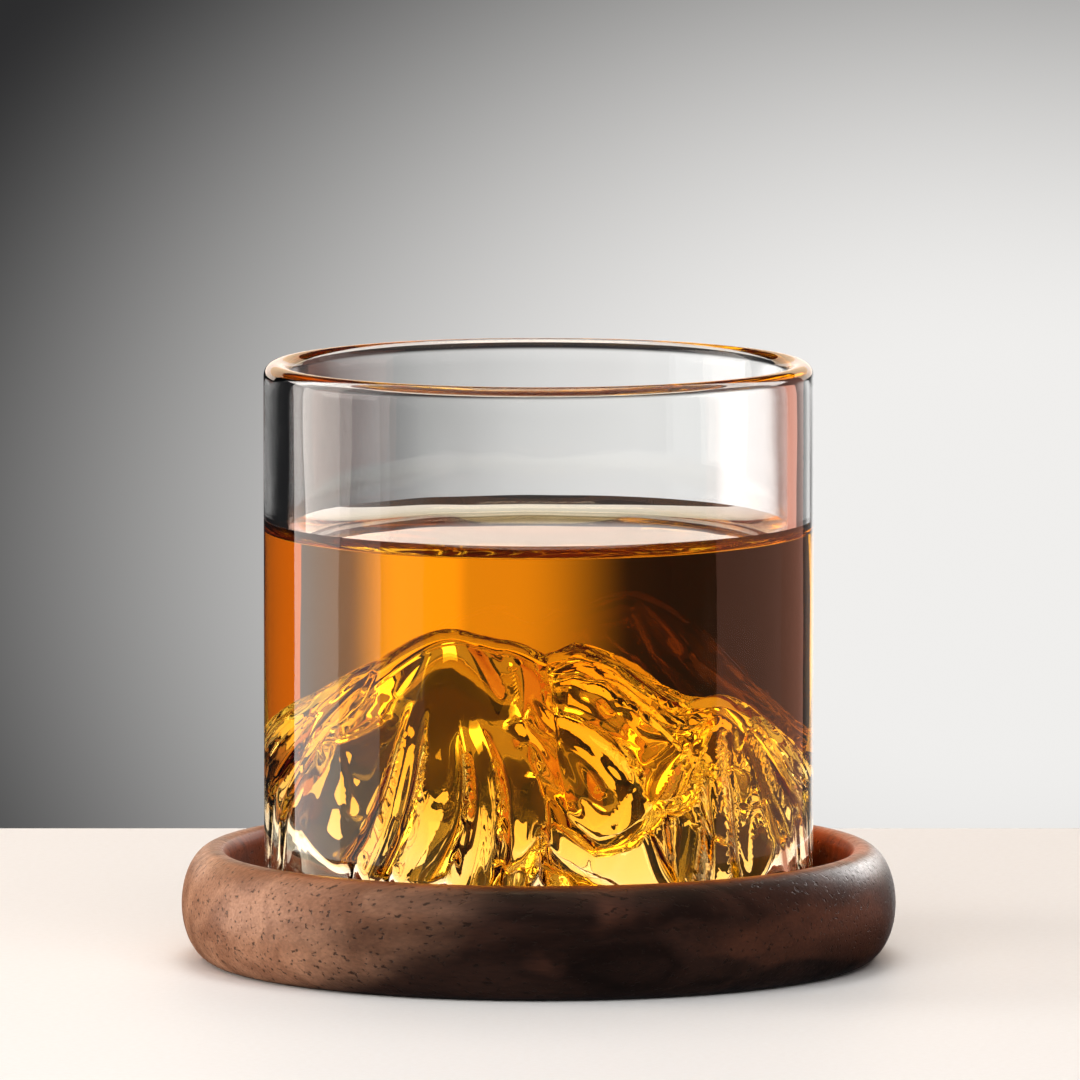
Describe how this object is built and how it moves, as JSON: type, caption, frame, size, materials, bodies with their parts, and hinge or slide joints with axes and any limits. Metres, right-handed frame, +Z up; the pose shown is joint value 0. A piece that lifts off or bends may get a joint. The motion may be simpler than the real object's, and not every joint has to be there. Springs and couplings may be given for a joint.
{
  "type": "whiskey tumbler",
  "caption": "Straight-walled glass tumbler with a mountain moulded into its floor, standing in a turned walnut coaster.",
  "frame": {"origin": "centre of the coaster's flat underside, on the surface it stands on", "axes": "+Z up along the tumbler's axis; -Y towards the mountain's front; +X to the right seen from the front"},
  "size_m": [0.1106, 0.1106, 0.0927],
  "materials": {
    "clear_glass": "clear, fire polished",
    "walnut": "dark walnut, satin oil"
  },
  "bodies": {
    "coaster_base": {"coaster": "walnut"},
    "glass": {"tumbler": "clear_glass"}
  },
  "joints": [
    {"name": "tumbler_lift", "type": "slide", "parent": "coaster_base", "child": "glass", "axis": [0, 0, 1], "range_m": [0, 0.04]}
  ]
}
